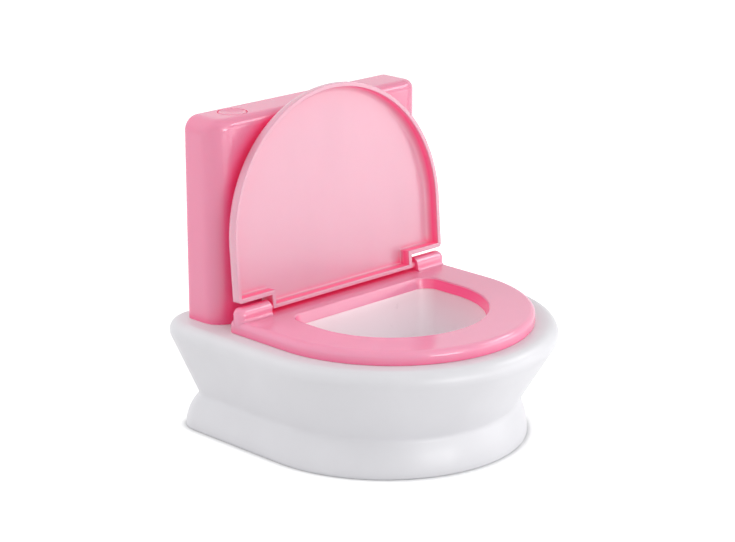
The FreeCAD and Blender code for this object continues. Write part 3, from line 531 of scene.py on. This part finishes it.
# ---------------------------------------------------------------- seat

SEAT_LOW, SEAT_HIGH = (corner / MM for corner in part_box("seat"))
SEAT_TOP_Z = 67.5
SEAT_T = 2.2
SEAT_EDGE_R = 3.1
MOUTH_EDGE_R = 1.0
MOUTH_FOOT_Z = 61.9         # where the mouth's draft is measured to
MOUTH_WALL_Z = 61.95        # foot of the mouth's wall
SEAT_BOSSES = [(45.6, -46.1), (64.6, 18.0)]
SEAT_BOSS_R = 3.0
SEAT_BORE_R = 1.3
MOUTH_WALL_T = 2.2
HINGE = Vector(frame["joints"][0]["pos_m"]) / MM
BARREL_R = SEAT_HIGH.z - HINGE.z
BARREL_IN_X = 53.0
BARREL_END_R = 3.6
BARREL_TOE_R = 1.8
BORE_R = 1.96
BORE_DEPTH = 6.5


def barrel_section(x, shrink, toe_r, side):
    """A barrel's outline across X: a round top on a foot, and a hollow toe that runs into the seat."""
    half = BARREL_R - shrink
    fall = max(0.0, x - (PLAN_SEAT[0] - SEAT_EDGE_R))
    surface = SEAT_TOP_Z - SEAT_EDGE_R + math.sqrt(max(SEAT_EDGE_R ** 2 - fall ** 2, 0.0))
    sunk = surface - 1.2
    toe_z = SEAT_TOP_Z + toe_r
    points = [(-half - toe_r, sunk)]
    for angle in arc_angles(-90, 0, 6):
        points.append((-half - toe_r + toe_r * math.cos(angle), toe_z + toe_r * math.sin(angle)))
    for angle in arc_angles(180, 0, 24):
        points.append((half * math.cos(angle), HINGE.z + half * math.sin(angle)))
    points += [(half, SEAT_TOP_Z), (half, sunk)]
    return [Vector((side * x, HINGE.y + y, z)) for y, z in points]


def seat_barrel(mesh, side):
    outer_x = PLAN_SEAT[0]
    stations = [(BARREL_IN_X, 0.35), (BARREL_IN_X + 0.12, 0.1), (BARREL_IN_X + 0.4, 0.0)]
    stations += [(BARREL_IN_X + 4.0 * step, 0.0) for step in range(1, 5)]
    round_x = outer_x - BARREL_END_R
    for angle in arc_angles(0, 84, 10):
        stations.append((round_x + BARREL_END_R * math.sin(angle), BARREL_END_R * (1 - math.cos(angle))))
    sections = []
    for x, shrink in stations:
        fade = min(1.0, max(0.0, (outer_x - 0.6 - x) / 3.4))
        sections.append(barrel_section(x, shrink, max(BARREL_TOE_R * math.sqrt(fade), 0.08), side))
    first = sections[0]
    centre = Vector((first[0].x, HINGE.y, HINGE.z))
    mouth = [centre + (point - centre).normalized() * BORE_R for point in first]
    deep = [point + Vector((side * BORE_DEPTH, 0, 0)) for point in mouth]
    loft(mesh, [deep, mouth] + sections, caps=True)


def seat():
    mesh = bmesh.new()
    low_z = SEAT_LOW.z
    ceiling = SEAT_TOP_Z - SEAT_T
    draft = math.atan2(MOUTH_DRAFT, SEAT_TOP_Z - MOUTH_FOOT_Z)
    reach = MOUTH_EDGE_R / math.tan((math.pi / 2 + draft) / 2)
    rings = [flat_ring(inset(PLAN_SEAT, 0.35), low_z), flat_ring(inset(PLAN_SEAT, 0.08), low_z + 0.12)]
    rings.append(flat_ring(PLAN_SEAT, low_z + 0.4))
    for angle in arc_angles(0, 90, 12):
        gap = SEAT_EDGE_R * (1 - math.cos(angle))
        rings.append(flat_ring(inset(PLAN_SEAT, gap), SEAT_TOP_Z - SEAT_EDGE_R * (1 - math.sin(angle))))
    for angle in arc_angles(90, math.degrees(draft), 6):
        into = -reach + MOUTH_EDGE_R * math.cos(angle)
        rings.append(flat_ring(inset(PLAN_MOUTH, into), SEAT_TOP_Z - MOUTH_EDGE_R * (1 - math.sin(angle))))
    # Painted shade and glow on the mouth's wall, on its sides only.
    painted_shade_marks = [[0.0] * len(rings[0])] * (len(rings) - 1) + [side_shade_shares(PLAN_MOUTH, 0.8)] * 2
    foot_gap = math.tan(draft) * (SEAT_TOP_Z - MOUTH_WALL_Z)
    rings.append(flat_ring(inset(PLAN_MOUTH, foot_gap), MOUTH_WALL_Z))
    rings.append(flat_ring(inset(PLAN_MOUTH, foot_gap - MOUTH_WALL_T), MOUTH_WALL_Z))
    rings.append(flat_ring(inset(PLAN_MOUTH, foot_gap - MOUTH_WALL_T - 1.0), ceiling))
    rings.append(flat_ring(inset(PLAN_SEAT, SEAT_T), ceiling))
    rings.append(flat_ring(inset(PLAN_SEAT, SEAT_T), low_z))
    loft(mesh, rings, closed=True, painted_shade_marks=painted_shade_marks)
    for side in (1, -1):
        seat_barrel(mesh, side)
        for x, y in SEAT_BOSSES:
            foot = Vector((side * x, y, low_z + 0.03))
            sleeve(mesh, foot, UP, ceiling - low_z + 0.3, SEAT_BOSS_R, SEAT_BORE_R)
    return make_piece("seat_ring", mesh, "chair", "seat")


# ---------------------------------------------------------------- lid

# The lid's own frame: x across, s up the open lid from the hinge axis, u out of its dished side.
LID_LEAN = math.radians(4.22)
LID_S = Vector((0, math.sin(LID_LEAN), math.cos(LID_LEAN)))
LID_U = Vector((0, -math.cos(LID_LEAN), math.sin(LID_LEAN)))
LID_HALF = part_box("lid")[1].x / MM
LID_RIM_U = 2.41
LID_BACK_U = LID_RIM_U - 9.0
LID_FLOOR_U = LID_BACK_U + 2.2
LID_WALL = 2.3
LID_ARC_S = 33.8            # where the straight sides meet the round top
LID_TAB_HALF = 50.7
LID_TAB_S = -1.25
LID_NOTCH_S = 6.3
LID_CORNER_R = 2.0
LID_BACK_R = 6.8            # round the back's sides and top
LID_REAR_R = 2.2            # along the back's lower edge
LID_CRISP_R = 0.4           # along the back's notches
LID_RIM_R = 0.45
LID_TOE_R = 0.9             # along the rim's lower edge
LID_DISH_R = 3.2            # where the dish's wall meets its floor
LID_DISH_FOOT_R = 0.8       # the same along its lower edges
STUB_R = 1.9
STUB_LEN = 7.6
STUB_ROOT = 2.0             # how deep the stubs start inside the strip
STUB_EDGE_R = 0.6


def lid_point(x, s, u):
    return HINGE + Vector((x, 0, 0)) + LID_S * s + LID_U * u


def lid_ring(u, side, notch, foot):
    """The lid's outline at height u, moved in by side, notch and foot along those edges."""
    half = LID_HALF - side
    tab = LID_TAB_HALF - notch
    notch_s = LID_NOTCH_S + notch
    foot_s = LID_TAB_S + foot
    corner_r = max(LID_CORNER_R - max(side, notch), 0.06)
    inner = half - corner_r
    corner_s = notch_s + corner_r
    outline = []
    for angle in arc_angles(0, 180, 96):
        outline.append((half * math.cos(angle), LID_ARC_S + half * math.sin(angle)))
    for step in range(1, 6):
        outline.append((-half, LID_ARC_S + (corner_s - LID_ARC_S) * step / 6))
    for angle in arc_angles(180, 270, 6):
        outline.append((-inner + corner_r * math.cos(angle), corner_s + corner_r * math.sin(angle)))
    for step in range(1, 4):
        outline.append((-inner + (inner - tab) * step / 4, notch_s))
    outline.append((-tab, notch_s))
    outline.append((-tab, foot_s))
    for step in range(1, 20):
        outline.append((-tab + 2 * tab * step / 20, foot_s))
    outline.append((tab, foot_s))
    outline.append((tab, notch_s))
    for step in range(1, 4):
        outline.append((tab + (inner - tab) * step / 4, notch_s))
    for angle in arc_angles(270, 360, 6):
        outline.append((inner + corner_r * math.cos(angle), corner_s + corner_r * math.sin(angle)))
    for step in range(1, 6):
        outline.append((half, corner_s + (LID_ARC_S - corner_s) * step / 6))
    return [lid_point(x, s, u) for x, s in outline]


def edge_gap(depth, radius):
    """How far a rounded edge has moved in at this depth below the flat it rounds into."""
    if depth >= radius:
        return 0.0
    return radius - math.sqrt(radius ** 2 - (radius - depth) ** 2)


def arc_depths(radius, steps, start=0, end=90):
    """Depths below a flat, spaced evenly round an edge of this radius."""
    return [radius * (1 - math.cos(a)) for a in arc_angles(start, end, steps)]


def lid():
    mesh = bmesh.new()
    rings = []
    depths = arc_depths(LID_BACK_R, 14) + arc_depths(LID_CRISP_R, 4) + arc_depths(LID_REAR_R, 6)
    for depth in sorted(set(depths)):
        side, notch, foot = (edge_gap(depth, r) for r in (LID_BACK_R, LID_CRISP_R, LID_REAR_R))
        rings.append(lid_ring(LID_BACK_U + depth, side, notch, foot))
    for depth in sorted(set(arc_depths(LID_TOE_R, 5) + arc_depths(LID_RIM_R, 5)), reverse=True):
        gap = edge_gap(depth, LID_RIM_R)
        rings.append(lid_ring(LID_RIM_U - depth, gap, gap, edge_gap(depth, LID_TOE_R)))
    for depth in arc_depths(LID_RIM_R, 5):
        gap = LID_WALL - edge_gap(depth, LID_RIM_R)
        rings.append(lid_ring(LID_RIM_U - depth, gap, gap, gap))
    # Painted shade and glow inside the dish: along the rim's inner edge and down the wall, none on the floor.
    painted_shade_shares = [0.0] * (len(rings) - 1) + [0.55]
    for height in arc_depths(LID_DISH_R, 10, 90, 0):
        side = LID_WALL + edge_gap(height, LID_DISH_R)
        low = LID_WALL + edge_gap(height, LID_DISH_FOOT_R)
        rings.append(lid_ring(LID_FLOOR_U + height, side, low, low))
        painted_shade_shares.append(0.9 * height / LID_DISH_R)
    loft(mesh, rings, caps=True, painted_shade_marks=[[share] * len(rings[0]) for share in painted_shade_shares])
    length = STUB_LEN + STUB_ROOT
    tip = [(length - STUB_EDGE_R * (1 - math.sin(a)), STUB_R - STUB_EDGE_R * (1 - math.cos(a)))
           for a in arc_angles(0, 90, 5)]
    for side in (1, -1):
        root = HINGE + Vector((side * (LID_TAB_HALF - STUB_ROOT), 0, 0))
        turned(mesh, root, Vector((side, 0, 0)), [(0, STUB_R)] + tip)
    return make_piece("lid_shell", mesh, "lid_body", "lid")


base_shell()
bowl()
seat()
lid()


# ---------------------------------------------------------------- floor, light and camera

FLOOR_LIFT = 0.45           # keeps the paper white for the camera, as an overexposed sweep is
PAINTED_SHADOW_REACH = 0.007       # how far the painted contact shadow round the foot spreads


def floor():
    reach = 8.0
    mesh = bpy.data.meshes.new("floor")
    corners = [(-reach, -reach, 0), (reach, -reach, 0), (reach, reach, 0), (-reach, reach, 0)]
    mesh.from_pydata(corners, [], [(0, 1, 2, 3)])
    plane = bpy.data.objects.new("floor", mesh)
    bpy.context.scene.collection.objects.link(plane)
    material, nodes, links, shader = new_material("floor_paper")
    shader.inputs["Roughness"].default_value = 0.9
    shader.inputs["Specular IOR Level"].default_value = 0.0
    shader.inputs["Emission Color"].default_value = (1, 1, 1, 1)
    # Painted contact shadow: near the foot the paper's colour darkens with ambient occlusion, and its lift fades.
    nearness = nodes.new("ShaderNodeAmbientOcclusion")
    nearness.samples = 12
    nearness.inputs["Distance"].default_value = PAINTED_SHADOW_REACH
    shade = nodes.new("ShaderNodeMapRange")
    shade.inputs["From Min"].default_value = 0.5
    shade.inputs["From Max"].default_value = 0.97
    links.new(nearness.outputs["AO"], shade.inputs["Value"])
    open_share = shade.outputs["Result"]
    links.new(ramp(nodes, links, open_share, [(0.0, (0.62, 0.62, 0.63)), (1.0, (0.93, 0.93, 0.93))]),
              shader.inputs["Base Color"])
    path = nodes.new("ShaderNodeLightPath")
    direct = nodes.new("ShaderNodeMath")
    direct.operation = "MAXIMUM"
    links.new(path.outputs["Is Camera Ray"], direct.inputs[0])
    links.new(path.outputs["Is Glossy Ray"], direct.inputs[1])
    seen = nodes.new("ShaderNodeMath")
    seen.operation = "MULTIPLY"
    links.new(direct.outputs[0], seen.inputs[0])
    links.new(open_share, seen.inputs[1])
    lift = nodes.new("ShaderNodeMath")
    lift.operation = "MULTIPLY"
    lift.inputs[1].default_value = FLOOR_LIFT
    links.new(seen.outputs[0], lift.inputs[0])
    links.new(lift.outputs[0], shader.inputs["Emission Strength"])
    mesh.materials.append(material)


MIDDLE = Vector((0, 0, 0.08))


def softbox(name, azimuth, elevation, distance, size, power, diffuse=True, gloss=True):
    """A soft light round the object. Azimuth 0 stands in front of it and 90 on its right."""
    a, e = math.radians(azimuth), math.radians(elevation)
    way = Vector((math.sin(a) * math.cos(e), -math.cos(a) * math.cos(e), math.sin(e)))
    data = bpy.data.lights.new(name, "AREA")
    data.shape = "RECTANGLE"
    data.size, data.size_y = size
    data.energy = power
    lamp = bpy.data.objects.new(name, data)
    lamp.location = MIDDLE + way * distance
    lamp.rotation_euler = (-way).to_track_quat("-Z", "Y").to_euler()
    lamp.visible_diffuse = diffuse
    lamp.visible_glossy = gloss
    lamp.visible_camera = False
    bpy.context.scene.collection.objects.link(lamp)


SWEEP_LIGHT = 0.615         # what the white surroundings light the object with
SWEEP_GLOSS = 1.05          # how bright they are in the background and where the object mirrors them


def studio():
    world = bpy.data.worlds.new("studio")
    world.use_nodes = True
    nodes, links = world.node_tree.nodes, world.node_tree.links
    background = nodes["Background"]
    background.inputs["Color"].default_value = (1, 1, 1, 1)
    path = nodes.new("ShaderNodeLightPath")
    seen = nodes.new("ShaderNodeMath")
    seen.operation = "MAXIMUM"
    links.new(path.outputs["Is Camera Ray"], seen.inputs[0])
    links.new(path.outputs["Is Glossy Ray"], seen.inputs[1])
    strength = nodes.new("ShaderNodeMapRange")
    strength.inputs["To Min"].default_value = SWEEP_LIGHT
    strength.inputs["To Max"].default_value = SWEEP_GLOSS
    links.new(seen.outputs[0], strength.inputs["Value"])
    links.new(strength.outputs["Result"], background.inputs["Strength"])
    bpy.context.scene.world = world
    bpy.context.scene.view_settings.view_transform = "Standard"
    softbox("front_box", 0, 20, 1.2, (0.7, 0.7), 2.9)
    softbox("high_box", 0, 55, 1.2, (0.7, 0.7), 1.0)
    softbox("rear_left_box", -135, 40, 1.2, (0.7, 0.7), 4.6, gloss=False)
    softbox("low_card", 43, 2, 0.5, (0.36, 0.19), 0.42)
    softbox("wide_card", 43, 8, 0.75, (0.55, 0.35), 0.36)
    softbox("side_strip", 60, 34, 0.9, (0.50, 0.22), 2.4, diffuse=False)
    softbox("front_strip", -3, 2, 0.95, (0.42, 0.24), 3.6, diffuse=False)


CAMERA_AT = (-0.8045, -0.7975, 0.4351)
CAMERA_AZIMUTH = -44.66
CAMERA_ELEVATION = 17.13
LENS = 113.4


def camera():
    data = bpy.data.cameras.new("camera")
    data.lens = LENS
    data.sensor_width = 36.0
    azimuth, elevation = math.radians(CAMERA_AZIMUTH), math.radians(CAMERA_ELEVATION)
    back = Vector((math.sin(azimuth) * math.cos(elevation), -math.cos(azimuth) * math.cos(elevation),
                   math.sin(elevation)))
    right = Vector((math.cos(azimuth), math.sin(azimuth), 0))
    up = back.cross(right)
    made = bpy.data.objects.new("camera", data)
    turn = Matrix((right, up, back)).transposed().to_4x4()
    made.matrix_world = Matrix.Translation(CAMERA_AT) @ turn
    bpy.context.scene.collection.objects.link(made)
    bpy.context.scene.camera = made
    data.clip_start, data.clip_end = 0.05, 50.0


floor()
studio()
camera()
